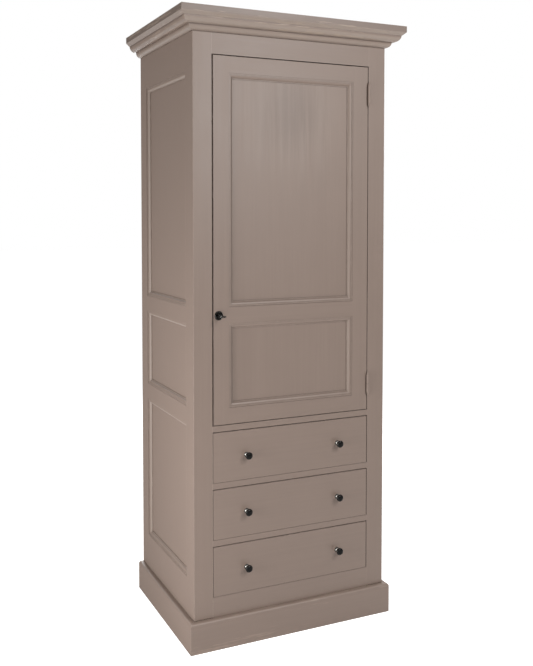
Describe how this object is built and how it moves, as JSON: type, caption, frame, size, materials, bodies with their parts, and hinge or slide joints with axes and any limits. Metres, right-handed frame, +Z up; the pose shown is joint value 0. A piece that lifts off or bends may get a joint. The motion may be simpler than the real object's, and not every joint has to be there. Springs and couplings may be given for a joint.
{
  "type": "bonnetiere cabinet",
  "caption": "Tall narrow painted cabinet with a panelled, locking door over stacked drawers, frame-and-panel sides, a moulded cornice and a plinth.",
  "frame": {"origin": "centre of the whole's footprint (cornice and plinth included), at floor level", "axes": "+Z up, +Y to the back, towards the wall, +X to the right for someone who faces the door"},
  "size_m": [0.7966, 0.5886, 2],
  "materials": {
    "painted_wood": "satin taupe paint, brushed on, slightly worn at the edges",
    "bare_wood": "planed bare pine",
    "painted_hinge": "satin taupe paint over steel",
    "black_nickel": "polished black nickel",
    "lock_steel": "plain steel",
    "brass": "plain brass"
  },
  "bodies": {
    "carcass": {"back_boards": "bare_wood", "back_rails": "bare_wood", "bed_mouldings": "painted_wood", "bottom_board": "bare_wood", "cornice_front": "painted_wood", "cornice_left": "painted_wood", "cornice_right": "painted_wood", "deck_board": "painted_wood", "door_stop": "bare_wood", "drawer_guides": "bare_wood", "drawer_rails": "painted_wood", "drawer_runners": "bare_wood", "front_bottom_rail": "painted_wood", "front_left_stile": "painted_wood", "front_right_stile": "painted_wood", "front_top_rail": "painted_wood", "hinge_frame_leaves": "painted_hinge", "hinge_washers": "brass", "left_side_front_stile": "painted_wood", "left_side_mouldings": "painted_wood", "left_side_panels": "painted_wood", "left_side_rails": "painted_wood", "left_side_rear_stile": "painted_wood", "plinth_front": "painted_wood", "plinth_left": "painted_wood", "plinth_right": "painted_wood", "right_side_front_stile": "painted_wood", "right_side_mouldings": "painted_wood", "right_side_panels": "painted_wood", "right_side_rails": "painted_wood", "right_side_rear_stile": "painted_wood", "shelf_cleats": "bare_wood", "shelves": "painted_wood", "strike_plate": "lock_steel", "top_board": "bare_wood"},
    "door": {"door_bottom_rail": "painted_wood", "door_hinge_stile": "painted_wood", "door_lock_stile": "painted_wood", "door_lower_panel": "painted_wood", "door_middle_rail": "painted_wood", "door_mouldings": "painted_wood", "door_top_rail": "painted_wood", "door_upper_panel": "painted_wood", "escutcheon": "black_nickel", "hinge_door_leaves": "painted_hinge", "lock_case": "lock_steel"},
    "drawer_1": {"drawer_1_bottom": "bare_wood", "drawer_1_box": "bare_wood", "drawer_1_front": "painted_wood", "drawer_1_knobs": "black_nickel"},
    "drawer_2": {"drawer_2_bottom": "bare_wood", "drawer_2_box": "bare_wood", "drawer_2_front": "painted_wood", "drawer_2_knobs": "black_nickel"},
    "drawer_3": {"drawer_3_bottom": "bare_wood", "drawer_3_box": "bare_wood", "drawer_3_front": "painted_wood", "drawer_3_knobs": "black_nickel"},
    "key": {"key": "black_nickel"},
    "lock_bolt": {"lock_bolt": "lock_steel"}
  },
  "joints": [
    {"name": "door_swing", "type": "hinge", "parent": "carcass", "child": "door", "pos_m": [0.28095, -0.24645, 1.284], "axis": [0, 0, 1], "range_deg": [0, 175]},
    {"name": "key_turn", "type": "hinge", "parent": "door", "child": "key", "pos_m": [-0.26025, -0.24135, 1.0555], "axis": [0, 1, 0], "range_deg": [0, 90]},
    {"name": "bolt_slide", "type": "slide", "parent": "door", "child": "lock_bolt", "axis": [-1, 0, 0], "range_m": [0, 0.008]},
    {"name": "drawer_1_slide", "type": "slide", "parent": "carcass", "child": "drawer_1", "axis": [0, -1, 0], "range_m": [0, 0.36]},
    {"name": "drawer_2_slide", "type": "slide", "parent": "carcass", "child": "drawer_2", "axis": [0, -1, 0], "range_m": [0, 0.36]},
    {"name": "drawer_3_slide", "type": "slide", "parent": "carcass", "child": "drawer_3", "axis": [0, -1, 0], "range_m": [0, 0.36]}
  ],
  "couplings": [
    {"joint": "bolt_slide", "follows": "key_turn", "m_per_rad": 0.005092}
  ]
}
